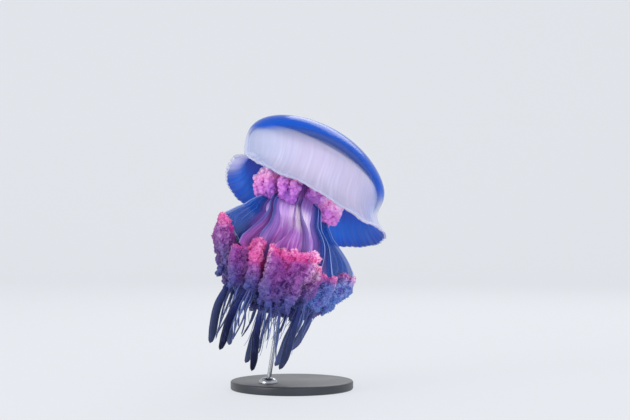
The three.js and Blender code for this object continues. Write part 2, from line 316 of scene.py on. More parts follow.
def makeStudio():
    only()
    bpy.ops.mesh.primitive_plane_add(size=1)
    sweep = bpy.context.object
    sweep.name = "studioSweep"
    with editing(sweep):
        bpy.ops.transform.resize(value=(studio["width"], studio["length"], 1))
        bpy.ops.transform.translate(value=(0, studio["depth"] - studio["length"] / 2, 0))
        bpy.ops.mesh.select_all(action="DESELECT")
    corners = sweep.data.vertices
    for corner in corners:
        corner.select = corner.co.y > studio["depth"] - 0.01
    for edge in sweep.data.edges:
        edge.select = all(corners[i].select for i in edge.vertices)
    bpy.ops.object.mode_set(mode="EDIT")
    curve = studio["curve"]
    bpy.ops.mesh.extrude_region_move(TRANSFORM_OT_translate={"value": (0, curve, curve)})
    bpy.ops.mesh.extrude_region_move(TRANSFORM_OT_translate={"value": (0, 0, studio["height"])})
    bpy.ops.object.mode_set(mode="OBJECT")
    apply(sweep, "BEVEL", width=curve * 0.9, segments=12, limit_method="ANGLE")
    bpy.ops.object.shade_smooth()
    paper = Finish("studioPaper")
    path = paper.add("ShaderNodeLightPath")
    seen = path + path.output("Is Glossy Ray") + path.output("Is Transmission Ray")
    flatTone = paper.add("ShaderNodeEmission", inputs={"Color": studio["paper"]})
    matt = paper.add("ShaderNodeBsdfDiffuse", inputs={"Color": studio["air"]})
    share = seen * (1 - studio["floorLight"])
    mixed = paper.add("ShaderNodeMixShader", inputs={0: share, 1: matt, 2: flatTone})
    sweep.data.materials.append(paper.close(mixed))


def makeWorld():
    # lights the model softly, and shows as plain air where the paper ends
    world = bpy.data.worlds.new("studioWorld")
    world.use_nodes = True
    air = Finish("studioAir", world)
    path = air.add("ShaderNodeLightPath")
    values = {"Color": studio["worldColour"], "Strength": studio["world"]}
    glow = air.add("ShaderNodeBackground", inputs=values)
    plain = air.add("ShaderNodeBackground", inputs={"Color": studio["air"]})
    mixed = air.add("ShaderNodeMixShader", inputs={0: path, 1: glow, 2: plain})
    air.add("ShaderNodeOutputWorld", inputs={"Surface": mixed})
    bpy.context.scene.world = world


lamps = {
    "keyLamp": {"place": (-2.4, -1.8, 1.2), "size": (1.7, 1.7), "watts": 24, "spread": 150},
    "lowLamp": {"place": (1.1, -2.6, 0.3), "size": (2.6, 0.5), "watts": 13, "spread": 80},
    "backLamp": {"place": (0.6, 1.9, 1.9), "size": (1.5, 1.5), "watts": 14, "spread": 150},
}
lampAim = (0, 0, 0.24)
fillLamp = "lowLamp"  # leaves no highlight of its own


def makeLamps():
    aim = Vector(lampAim)
    for name, lamp in lamps.items():
        place = Vector(lamp["place"])
        turn = (aim - place).to_track_quat("-Z", "Y").to_euler()
        bpy.ops.object.light_add(type="AREA", location=place, rotation=turn)
        light = bpy.context.object
        light.name = name
        light.data.shape = "RECTANGLE"
        light.data.size, light.data.size_y = lamp["size"]
        light.data.spread = math.radians(lamp["spread"])
        light.visible_camera = False
        light.visible_glossy = name != fillLamp
        light.data.energy = lamp["watts"]


makeStudio()
makeWorld()
makeLamps()
print("studio ready")

bell = {
    "profile": [  # the outer surface from the top down, as (radius, height)
        ((0, 108), (56, 108), (99, 90), (104.5, 52)),
        ((104.5, 52), (105.5, 42), (101, 32), (102, 22)),
        ((102, 22), (103, 12), (113, 3), (122, -3)),
    ],
    "thickness": 21.5,  # of the jelly at the top, and then pairs for its right and left sides
    "thinFrom": (0.46, 0.1),
    "thinTo": (1.05, 0.72),  # in shares of the way to the waist
    "waistLoss": (16.3, 17.5),
    "rimLoss": (3.8, 2.6),
    "slant": (3, 6),  # how much lower the rim lies at the right, and at the front and back
    "curl": (20, 204, 26),  # how high, around which heading and how wide, in degrees
    "droop": (14, 306, 34),
    "rimLean": 3,
    "domeLean": 22,
    "lappets": 72,
    "lappetDepth": 2.8,
    "furrow": 0.35,
    "liningThickness": 1.3,
    "gap": 0.7,
    "columns": 640,
}


def bezier(corners, share):
    a, b, c, d = [np.array(p, float) for p in corners]
    t = share[:, None]
    return a * (1 - t) ** 3 + 3 * b * t * (1 - t) ** 2 + 3 * c * t * t * (1 - t) + d * t**3


steps = 200  # along each curve of the profile
curves = [bezier(corners, np.linspace(0, 1, steps + 1)) for corners in bell["profile"]]
bellLine = np.concatenate([curves[0]] + [curve[1:] for curve in curves[1:]])
bellSteps = np.r_[0, np.cumsum(np.linalg.norm(np.diff(bellLine, axis=0), axis=1))]
waistShare = bellSteps[2 * steps] / bellSteps[-1]  # the second curve ends at the waist
bellSteps /= bellSteps[-1]
bellSlope = np.gradient(bellLine, bellSteps, axis=0)
bellSlope /= np.linalg.norm(bellSlope, axis=1)[:, None]


def jellyThickness(share, heading):
    left = ((1 - np.cos(heading)) / 2) ** 2
    keys = ("thinFrom", "thinTo", "waistLoss", "rimLoss")
    thinFrom, thinTo, waistLoss, rimLoss = [mix(*bell[key], left) for key in keys]
    thinned = step(share, thinFrom, waistShare * thinTo)
    return bell["thickness"] - waistLoss * thinned - rimLoss * step(share, waistShare, 1)


def swell(degrees, height, heading, width):
    return height * np.exp(-(((degrees - heading) / width) ** 2))


def rimLift(heading):
    degrees = np.degrees(heading) % 360
    curl, droop = swell(degrees, *bell["curl"]), swell(degrees, *bell["droop"])
    waves = 0.7 * np.sin(17 * heading) + 0.5 * np.sin(11 * heading + 1)
    right, front = bell["slant"]
    return -1 - right * np.cos(heading) - front * np.sin(heading) ** 2 + curl - droop + waves


def leftLean(height):
    return bell["rimLean"] * step(height, -10, 20) + bell["domeLean"] * step(height, 35, 105)


def bellPoint(share, heading, depth, flap=1):
    # flap is how deep the notches of its lappets are
    depth = depth + rib(share, heading)
    pull = lappetPull(share, heading) * flap
    x, y = [np.interp(share, bellSteps, bellLine[:, i]) for i in (0, 1)]
    dx, dy = [np.interp(share, bellSteps, bellSlope[:, i]) for i in (0, 1)]
    radius = np.maximum(0, x + dy * depth - dx * pull)
    height = y - dx * depth - dy * pull
    lift = rimLift(heading) * step(share, 0.72, 1)
    x, y = radius * np.cos(heading) - leftLean(height), radius * np.sin(heading)
    return np.stack([x, y, height + lift], axis=-1)


def lappetPull(share, heading):
    # notches between the little flaps of the rim
    place = heading * bell["lappets"] / (2 * np.pi)
    within = 2 * (place % 1) - 1
    tongue = np.sqrt(np.maximum(0, 1 - within**2))
    size = 1 + 0.25 * np.sin(np.floor(place) * 2.4)
    return bell["lappetDepth"] * size * (1 - tongue) * step(share, 0.955, 1)


def rib(share, heading):
    # the furrows that run up from the notches
    notch = (1 - np.abs(np.cos(heading * bell["lappets"] / 2))) ** 2
    return bell["furrow"] * notch * step(share, 0.8, 0.97)


def downAndBack(down, last=1.0):
    # 0 to 0.5 goes from the top to the rim outside, 0.5 to 1 back up inside
    there = 1 - np.abs(2 * down - 1)
    return last * (1 - (1 - there) ** 1.35), down > 0.5


def jellyPlace(across, down):
    heading = across * 2 * np.pi
    share, inside = downAndBack(down)
    return bellPoint(share, heading, np.where(inside, jellyThickness(share, heading), 0))


def liningPlace(across, down):
    heading = across * 2 * np.pi
    share, inside = downAndBack(down, 0.993)
    depth = jellyThickness(share, heading) + bell["gap"]
    depth = depth + np.where(inside, bell["liningThickness"], 0) * (1 - 0.4 * step(share, 0.9, 1))
    wrinkle = 0.5 * np.sin(heading * 40) * step(share, 0.6, 0.9) * np.where(inside, 1, 0)
    return bellPoint(share, heading, depth + wrinkle, 0.8)


def bellValues(across, down):
    share, _ = downAndBack(down)
    return {"thick": jellyThickness(share, across * 2 * np.pi) / jellyThickness(0, 0)}


def jellyFinish():
    f = Finish("bellJelly")
    limb, place = f.limb(), f.across()
    around = f.part(place, "X") - 0.5  # 0 at the left
    down = f.part(place, "Y")  # 0 at the top outside, 0.5 at the rim, 1 at the top inside
    inner = f.between(down, 0.49, 0.51)
    hem = f.between(down, 0.47, 0.485)
    high = 1 - f.between(down - around * 0.24, 0.2, 0.268)
    left = f.near(around, 0.03, 0.14, 0.32) * high
    thick = f.between(f.attributes("thick")[0] + 0.32 * left, 0.24, 0.48)
    band = f.between(limb + 0.18 * left - 0.22 * f.between(down, 0.13, 0.26), 0.08, 0.44) * thick
    # painted highlight: thin jelly seen edge-on near the outline is painted pale
    thinEdgeHighlight = f.between(limb, 0.5, 0.85) * (1 - thick)
    speck = f.grain(f.inSpace(), 260, 3)
    alpha = (0.04 + 0.94 * band + 0.6 * thinEdgeHighlight + 0.3 * hem).math("MINIMUM", 1) * (1 - inner * 0.8)
    tone = f.ramp(band, [(0, 110, 150, 232), (0.4, 16, 84, 196), (1, 8, 80, 190)])
    # painted highlight: lighter blue right at the outline; the hem's pale line is the rim's own colour
    tone = f.blend(f.between(limb, 0.84, 0.99) * 0.6, tone, (124, 170, 242))
    tone = f.blend((hem + thinEdgeHighlight).math("MINIMUM", 0.9), tone, (220, 224, 246))
    return f.surface(
        Base_Color=tone, Roughness=0.16, IOR=1.36, Specular_IOR_Level=0.15, Alpha=alpha,
        Normal=f.bump(speck, 0.0005, 0.3),
    )


def liningFinish():
    f = Finish("bellLining")
    place = f.across()
    around, down = f.part(place, "X"), f.part(place, "Y")  # as on the jelly, but 0.5 at the left
    inner = f.between(down, 0.503, 0.512)
    cloud = f.grain(f.inSpace(), 22, 3)
    streak = f.grain(f.across((150, 6, 1)), 1, 2)
    white = f.blend(cloud, (168, 168, 195), (192, 176, 198))
    white = f.blend(0.5 - 0.5 * f.between(down, 0.16, 0.3), white, (172, 176, 214))
    right = (1 - f.near(around, 0.5, 0.36, 0.46)) * f.between(down, 0.28, 0.42)
    white = f.blend(right * 0.6, white, (130, 144, 212))
    left = f.near(around, 0.52, 0.06, 0.2)
    white = f.blend(left * 0.6, white, (188, 202, 226))
    ray = f.between(streak, 0.35, 0.8) * 0.35 * f.between(down, 0.2, 0.4)
    white = f.blend(ray, white, (236, 230, 250))
    # the inner wall's blue: darker at the rim's edge and painted brighter further in, against the shade of
    # the bell, so partly painted light
    blue = f.ramp(
        f.between(down, 0.5, 0.74),
        [(0, 46, 84, 186), (0.12, 32, 86, 198), (0.5, 56, 128, 232), (1, 112, 124, 214)],
    )
    blue = f.blend(f.between(streak, 0.4, 0.75) * 0.3, blue, (84, 146, 252))
    curl = f.near(around, 0.57, 0.03, 0.1)
    blue = f.blend(curl * (1 - f.between(down, 0.53, 0.66)), blue, (206, 210, 244))
    thick = f.between(f.attributes("thick")[0], 0.2, 0.6)
    alpha = 1 - 0.9 * f.between(f.limb(), 0.6, 0.97) * (1 - inner) * thick
    # a painted glow: the inner wall's blue is also given as emission, standing in for light that comes
    # through the bell
    deepGlow = f.blend(inner * f.between(down, 0.51, 0.57), (0, 0, 0), blue)
    return f.surface(
        Base_Color=f.blend(inner, white, blue), Roughness=0.45, Specular_IOR_Level=0.2, Alpha=alpha,
        Emission_Color=deepGlow, Emission_Strength=0.11,
        Normal=f.bump(streak, 0.0008, 0.4),
    )


def makeBell():
    jelly = wrapped("bell_jelly", bell["columns"], 88, jellyPlace, bellValues)
    keep(jelly, jellyFinish(), "bell_jelly", "umbrella", "bell_margin")
    lining = wrapped("bell_lining", bell["columns"], 72, liningPlace, bellValues)
    keep(lining, liningFinish(), "bell_lining", "subumbrella")


makeBell()
print("bell ready")

# One row for each arm: its heading in degrees, how far out its frilled wings begin (reach), how far
# they stand apart (spread), the heights at which the frills begin and end (crest, foot), and its long
# club's root (outward, sideways), tip and darkness.
armKeys = ("heading", "reach", "spread", "crest", "foot", "root", "tip", "dark")
armRows = {
    "a": (185, 102, 17, -58, -140, (62, 0), (-58, 2, -232), 0.85),
    "b": (230, 85, 17, -89, -162, (58, 0), (-41, -46, -246), 1.0),
    "c": (275, 86, 26, -92, -174, (54, -16), (8, -46, -258), 1.0),
    "d": (320, 77, 14, -96, -150, (54, -8), (42, -34, -241), 0.9),
    "e": (5, 94, 16, -74, -140, (56, 0), (46, 6, -204), 0.7),
    "f": (50, 86, 20, -78, -150, (56, 0), (36, 44, -222), 0.7),
    "g": (95, 84, 22, -80, -154, (54, 0), (-4, 54, -230), 0.8),
    "h": (140, 90, 20, -70, -150, (60, 0), (-34, 46, -216), 0.7),
}
# Where an arm differs from the rest: flat is how much wider than deep its club is, slope how fast its
# crest falls towards the stalk, uneven how much lower its left wing stands (seen from outside), lift how
# much higher both do, push how far its right wing is moved sideways, and rim how strongly its edges get a
# painted highlight.
# Its fins may be fleshy and its frills warm or cool, all over or on one side (warmSide, coolSide).
armChanges = {
    "a": {"flat": 1.12, "slope": 0.8, "rim": 0.3},
    "b": {"uneven": 11, "rim": 0.35, "fleshy": 0.7, "warm": 1.0, "warmSide": (-4, 8)},
    "c": {"uneven": 5, "lift": 6.5, "push": 6, "rim": 0.75, "fleshy": 1.0},
    "d": {"fleshy": 0.45, "cool": 0.9, "coolSide": 9},
    "e": {"cool": 1.0},
}
arms = {key: {**dict(zip(armKeys, row)), **armChanges.get(key, {})} for key, row in armRows.items()}

stalk = {
    "top": 76,
    "bottom": -108,
    "lean": 13,  # how far to the left of the bell's axis it hangs
    "wingRoot": -8,  # the height at which the arms' fins begin
    "webGap": 3.4,  # from an arm's middle to each of its fins there
    "keel": 33,  # how far from the axis the frills hang at their foot
    "crestWidth": 17,  # of the frilled border at its crest, from where it widens inwards
    "keelShare": 0.5,  # how far down the frills they reach the keel
    "trunkShare": (0.3, 0.55),  # how far out along an arm's fins its thick trunk reaches, clear or fleshy
    "trunkWidth": 10,
    "sides": 0.93,  # the share of the rows that lies above its closed bottom
    "hollow": 14,  # how far the bottom is drawn up
    "columns": 240,
    "rows": 100,
}


def stalkCentre(height):
    return -stalk["lean"] * step(height, -64, -16) - 5 * step(height, 50, 90)


def stalkRadius(height):
    # wider where it joins the bell, and again where the arms part
    return 33 + 3 * step(height, 10, 60) + 8 * step(height, 60, 76) + 9 * step(-height, 14, 90)


def finEdge(arm, height):
    # a fin's root and outer edge at a height, as (root, reach, spread)
    down = np.clip((stalk["wingRoot"] - height) / (stalk["wingRoot"] - arm["crest"]), 0, 1)
    taper = 11 + 22 * step(height, -64, -14)  # inside the stalk's own taper
    root = np.maximum(taper, mix(22, stalk["keel"], step(down, 0.2, 1)))
    reach = mix(root + 10, arm["reach"], down**0.9)
    return root, reach, mix(stalk["webGap"], arm["spread"] - 1, down**2)


def armShare(arm, height):
    # 0 at the crest of an arm's frills, 1 at their foot
    return (arm["crest"] - height) / (arm["crest"] - arm["foot"])


def frillRoot(arm, share):
    # how far from the axis the frills begin
    return mix(arm["reach"] - stalk["crestWidth"], stalk["keel"], np.clip(share / stalk["keelShare"], 0, 1))


def alongArm(arm, outward, sideways, height):
    # the place in the body's frame of what lies so far out along an arm and so far to its side
    angle = math.radians(arm["heading"])
    x = outward * math.cos(angle) - sideways * math.sin(angle) + stalkCentre(height)
    y = outward * math.sin(angle) + sideways * math.cos(angle)
    return np.stack(np.broadcast_arrays(x, y, height), axis=-1)


def inArm(arm, place):
    # how far out along an arm and how far to its side places of the body's frame are
    angle = math.radians(arm["heading"])
    x, y = place[:, 0] - stalkCentre(place[:, 2]), place[:, 1]
    return x * math.cos(angle) + y * math.sin(angle), y * math.cos(angle) - x * math.sin(angle)


def stalkPlace(across, down):
    heading = across * 2 * np.pi
    closing = step(down, stalk["sides"], 1)
    height = mix(stalk["top"], stalk["bottom"], np.minimum(1, down / stalk["sides"]))
    height = height + stalk["hollow"] * closing
    even = stalkRadius(height)
    radius = even.copy()
    for arm in arms.values():
        root, reach, _ = finEdge(arm, height)
        away = (heading - math.radians(arm["heading"]) + np.pi) % (2 * np.pi) - np.pi
        sideways = np.abs(away) * np.maximum(radius, 20)
        width = stalk["trunkWidth"] * mix(0.8, 1.5, step(-height, 10, 90))
        out = mix(root, reach, mix(*stalk["trunkShare"], arm.get("fleshy", 0)))
        out = mix(even, np.minimum(out, frillRoot(arm, armShare(arm, height)) + 3), step(-height, 0, 30))
        radius = np.maximum(radius, mix(even, out, np.exp(-((sideways / width) ** 2))))
    fold = 0.7 * np.sin(heading * 48 + 2 * np.sin(height / 14)) + 0.5 * np.sin(heading * 31 + height / 20)
    radius = (radius + fold) * (1 - closing) * np.where(down <= 0, 0, 1)
    x, y = radius * np.cos(heading) + stalkCentre(height), radius * np.sin(heading)
    return np.stack([x, y, height], axis=-1)


def stalkFinish():
    f = Finish("mouthStalk")
    streak = f.grain(f.across((90, 5, 1)), 1, 3, 0.6)
    fineStreak = f.grain(f.across((210, 7, 1)), 1, 2)
    patch = f.grain(f.inSpace(), 26, 2)
    down = f.part(f.across(), "Y") + (patch - 0.5) * 0.12
    # lilac by height, darkest at 0.34 where the scapulets hang over the stalk: there partly painted shade
    lilac = f.ramp(down, [
        (0, 204, 156, 222), (0.34, 144, 80, 172), (0.48, 158, 118, 195),
        (0.57, 210, 172, 228), (0.68, 192, 120, 206), (0.8, 176, 84, 182),
        (1, 150, 70, 166),
    ])
    low = f.between(down, 0.36, 0.56, 0.35, 1)
    tone = f.blend(f.between(streak, 0.42, 0.72) * low * 0.6, lilac, (222, 192, 236))
    tone = f.blend(f.between(fineStreak, 0.55, 0.75) * low * 0.6, tone, (248, 232, 252))
    around = f.part(f.across(), "X")
    lit = f.near(around, 0.8, 0.02, 0.1) * f.near(down, 0.57, 0.03, 0.12)
    tone = f.blend(lit * 0.9, tone, (255, 236, 244))
    shaded = f.between(around, 0.83, 0.89) * f.between(around, 0.94, 0.99, 1, 0)
    tone = f.blend(shaded * 0.5, tone, (150, 142, 208))
    return f.surface(
        Base_Color=tone, Roughness=0.34, Coat_Weight=0.2, Coat_Roughness=0.15,
        Normal=f.bump(streak + fineStreak * 0.5, 0.0010, 0.5),
    )


def makeStalk():
    trunk = wrapped("mouth_stalk", stalk["columns"], stalk["rows"], stalkPlace)
    keep(trunk, stalkFinish(), "oral_flesh", "manubrium")


makeStalk()
print("stalk ready")

# the clear upper webs of the arms
fins = {
    "web": 0.4,
    "bead": 0.45,  # the thickness of the edge, and where across the web its middle and its half width are
    "beadPlace": (0.988, 0.012),
    "rootGap": 3.5,
    "turn": 0.7,  # the share of the rows that lies above the crest of the frills
    "hang": 0.42,  # how far down beside the frills a fin reaches
    "wave": 1.8,
    "columns": 72,
    "rows": 64,
}


def webShare(across):
    # from the root, 0, to the edge, 1, along one face of a web, and back along the other
    return 1 - np.abs(2 * across - 1) ** 1.5


def finPlace(arm, side):
    def place(across, down):
        out = webShare(across)
        face = np.sign(0.5 - across)
        upper = np.minimum(1, down / fins["turn"])
        lower = np.maximum(0, down - fins["turn"]) / (1 - fins["turn"])
        hang = lower * fins["hang"]
        height = mix(stalk["wingRoot"] + 6, arm["crest"], upper) + (arm["foot"] - arm["crest"]) * hang
        root, reach, spread = finEdge(arm, height)
        # beside the frills the fins end where the frills begin
        inset = step(lower, 0.36, 0.56)
        sunk = arm.get("slope", 0.2) * stalk["crestWidth"] / (arm["crest"] - arm["foot"])
        share = frillRoot(arm, np.maximum(0, hang - sunk)) + 5
        share = (share - stalk["keel"]) / (arm["reach"] - stalk["keel"])
        reach = mix(reach, stalk["keel"] + share * (arm["reach"] - stalk["keel"]), inset)
        spread = mix(spread, mix(stalk["webGap"], arm["spread"] - 1, share), inset)
        start, end = root * 0.8, mix(root, reach, step(down, 0, 0.06))
        run, rise = end - start, spread - fins["rootGap"]
        x, y = mix(start, end, out), mix(fins["rootGap"], spread, out)
        length = np.hypot(run, rise)
        wave = fins["wave"] * np.sin(2 * np.pi * (1.7 * out + 2.2 * down) + arm["heading"]) * out * down
        web = fins["web"] * np.minimum(1, 12 * out)
        middle, half = fins["beadPlace"]
        bead = fins["bead"] * np.sqrt(np.maximum(0, 1 - ((out - middle) / half) ** 2))
        thick = np.where(out < middle, np.maximum(web, np.where(out > middle - half, bead, 0)), bead)
        thick = face * thick * np.minimum(1, 14 * np.minimum(down, 1 - down)) + wave
        x, y = x - thick * rise / length, side * (y + thick * run / length)
        return alongArm(arm, x, y, height)

    return place


def finValues(arm, side):
    def values(across, down):
        fleshy = arm.get("fleshy", 0)
        cool = 1 if "cool" in arm else fleshy * max(0, side)
        even = np.ones(len(down))
        return {"out": webShare(across), "down": down, "fleshy": fleshy * even, "cool": cool * even}

    return values


def finFinish():
    f = Finish("armFins")
    out, down, fleshy, cool = f.attributes("out", "down", "fleshy", "cool")
    lines = f.add("ShaderNodeCombineXYZ", inputs={0: out * 40, 1: down * 1.2})
    streak = f.grain(lines, 1, 3, 0.6)
    pale = f.between(streak, 0.46, 0.78)
    flesh = 1 - f.between(out + 0.25 * streak - fleshy * (0.5 + 0.45 * down), 0.38, 0.72)
    # a painted highlight: the fin's edge is painted pale blue, less on fleshy fins
    edge = f.between(out, 0.965, 0.985) * (1 - 0.85 * f.between(fleshy, 0.4, 0.8))
    clear = f.blend(pale, (22, 68, 156), (88, 134, 214))
    warm = f.ramp(down, [(0, 138, 82, 172), (0.5, 170, 98, 186), (1, 158, 70, 164)])
    warm = f.blend(pale * 0.7, warm, (222, 184, 234))
    warm = f.blend(cool * 0.7, warm, f.blend(pale, (134, 124, 196), (188, 190, 234)))
    tone = f.blend(flesh, clear, warm)
    tone = f.blend(edge, tone, (156, 176, 228))
    alpha = 0.52 + 0.24 * pale
    alpha = alpha + (1 - alpha) * (flesh + edge * (1 - flesh)) * 0.95
    return f.surface(
        Base_Color=tone, Roughness=0.25, IOR=1.36, Specular_IOR_Level=0.3, Alpha=alpha,
        Normal=f.bump(streak, 0.0006, 0.4),
    )


def makeFins():
    material = finFinish()
    for key, arm in arms.items():
        sheets = []
        for side in (-1, 1):
            place, values = finPlace(arm, side), finValues(arm, side)
            sheets.append(wrapped("fin", fins["columns"], fins["rows"], place, values))
        keep(joined("fins_" + key, sheets), material, "arm_jelly", "arm_" + key + "_fins")


makeFins()
print("fins ready")

# crumpled flesh with a coat of little fingers
frills = {
    "voxel": 1.25,
    "shrink": 4.0,  # how far the core lies inside the solids, under its buds
    "swell": 4.5,  # how far slow swellings move the core
    "crown": 7,  # how far the tops of the wings go up and down
    "buds": 800,
    "budSize": (2.0, 5.2),
    "budSink": (0.5, 1.0),  # how deep a bud's centre lies under the solid's surface, in bud sizes
    "budSeed": 51,
    "crease": (4.4, 0.9),  # the depth over which the colour goes from the painted shade of the creases to the paler crests, and how pale the crests get
    "fingers": 3600,  # for each arm
    "fingerLength": (0.7, 2.4),
    "fingerWidth": 0.75,
    "fingerSeed": 11,
}
scapulets = {
    "voxel": 1.05,
    "shrink": 5,
    "swell": 4,
    "buds": 330,
    "budSize": (1.8, 5.4),
    "budSink": (0.0, 0.8),
    "budSeed": 71,
    "crease": (3.6, 1),
    "fingers": 1200,
    "fingerLength": (0.6, 1.8),
    "fingerWidth": 0.7,
    "fingerSeed": 31,
}
swellScale = 0.013  # metres
crownScale = 11  # millimetres, as all but a few sizes here
roughVoxel = 2.6


def copyOf(node, name):
    piece = placed(name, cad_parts[node].data.copy())
    piece.data.name = name
    closeUp(piece)
    return piece


def cutBelow(piece, height):
    # takes away what hangs under a height of the body's frame
    at = toWorld(np.array([0, 0, height]))
    with editing(piece):
        bpy.ops.mesh.bisect(plane_co=at, plane_no=upward, use_fill=True, clear_inner=True)


def taken(values, index, weights):
    # values at places in triangles, from those at the triangles' corners
    return (values[index] * weights[:, :, None]).sum(axis=1)


def scattered(mesh, count, draw):
    # places and normals of points spread evenly over a mesh, and the loops and weights that give them
    mesh.calc_loop_triangles()
    corners, loops = [read(mesh.loop_triangles, name, 3, int) for name in ("vertices", "loops")]
    places = points(mesh)
    a, b, c = [places[corners[:, i]] for i in range(3)]
    area = np.linalg.norm(np.cross(b - a, c - a), axis=1)
    chosen = draw.choice(len(area), count, p=area / area.sum())
    u, v = draw.random(count), draw.random(count)
    fold = u + v > 1
    u[fold], v[fold] = 1 - u[fold], 1 - v[fold]
    weights = np.stack([1 - u - v, u, v], axis=1)
    root, normal = [taken(values, corners[chosen], weights) for values in (places, vertexNormals(mesh))]
    return root, normal, loops[chosen], weights


def triangleMesh(name, places, faces):
    mesh = bpy.data.meshes.new(name)
    mesh.from_pydata(places, [], faces, shade_flat=False)
    return mesh


def remesh(piece, voxel):
    only(piece)
    piece.data.remesh_voxel_size = voxel * mm
    bpy.ops.object.voxel_remesh()


def pushed(piece, distance):
    # moves the points of a piece outwards by a distance in metres
    setPoints(piece.data, points(piece.data) + vertexNormals(piece.data) * distance)


def budded(piece, kind, number):
    # rounds a piece into a cluster of buds that share one skin, and shrinks what lies between them
    draw = np.random.default_rng(kind["budSeed"] + number)
    swelling = np.array([noise.noise(Vector(p) / swellScale) for p in points(piece.data)])
    pushed(piece, (swelling * kind["swell"] * mm)[:, None])
    root, normal, _, _ = scattered(piece.data, kind["buds"] * 5, draw)
    size = mm * draw.uniform(*kind["budSize"], len(root))
    kept = [0]
    for i in range(1, len(root)):
        apart = (np.linalg.norm(root[kept] - root[i], axis=1) > 0.75 * size[i]).all()
        if apart and len(kept) < kind["buds"]:
            kept.append(i)
    root, normal, size = root[kept], normal[kept], size[kept]
    pushed(piece, -kind["shrink"] * mm)
    only()
    bpy.ops.mesh.primitive_ico_sphere_add(subdivisions=2, radius=1)
    bud = bpy.context.object
    ball = points(bud.data)
    faces = np.array([tuple(face.vertices) for face in bud.data.polygons])
    bpy.data.objects.remove(bud)
    centre = root - normal * (size * draw.uniform(*kind["budSink"], len(root)))[:, None]
    places = (centre[:, None] + ball[None] * size[:, None, None]).reshape(-1, 3)
    faces = (faces[None] + (np.arange(len(root)) * len(ball))[:, None, None]).reshape(-1, 3)
    joined(piece.name, [piece, placed("buds", triangleMesh("buds", places, faces))])
    remesh(piece, kind["voxel"])
    apply(piece, "SMOOTH", factor=0.5, iterations=2)
    bpy.ops.object.shade_smooth()


def rounded(piece):
    remesh(piece, roughVoxel)
    apply(piece, "SMOOTH", factor=0.5, iterations=4)


def crown(piece, arm):
    # breaks up the flat top of a pair of wings, lowers it towards the stalk and moves what is uneven
    place = toBody(points(piece.data))
    out, sideways = inArm(arm, place)
    near = 1 - step(armShare(arm, place[:, 2]), 0, 0.6)
    bumps = np.array([noise.noise(Vector((x, y, 0)) / crownScale) for x, y in place[:, :2]])
    drop = frills["crown"] * (0.4 + bumps) + arm.get("slope", 0.2) * np.maximum(0, arm["reach"] - out)
    drop = drop + arm.get("uneven", 0) * step(-sideways, -4, 10) - arm.get("lift", 0)
    place[:, 2] -= drop * near
    angle = math.radians(arm["heading"])
    push = arm.get("push", 0) * step(sideways, 4, 20) * near
    place[:, :2] += push[:, None] * [-math.sin(angle), math.cos(angle)]
    setPoints(piece.data, toWorld(place))


def crestValues(piece, depth, most):
    # 0 in the creases between the buds and most on their crests, by how far each point stands over a
    # smoothed copy
    # the finishes paint shade into the creases and paler crests from these values
    smoothCopy = placed("smoothCopy", piece.data.copy())
    apply(smoothCopy, "SMOOTH", factor=0.8, iterations=24)
    height = ((points(piece.data) - points(smoothCopy.data)) * vertexNormals(smoothCopy.data)).sum(axis=1)
    bpy.data.objects.remove(smoothCopy)
    return np.clip(0.5 + height / (depth * mm), 0, 1) * most


def unwrapped(piece):
    with editing(piece):
        bpy.ops.uv.smart_project(angle_limit=math.radians(66), island_margin=0.002)


finger = {
    "rings": ((0.0, 1.0), (0.45, 0.95), (0.85, 0.6)),  # how far up each is, and its share of the width
    "sides": 4,
    "droop": 0.25,
    "stray": 0.28,
    "bend": 0.18,
    "sink": 0.0005,  # metres under the skin
    "mapReach": 0.0015,
    "clumpScale": 0.006,
}


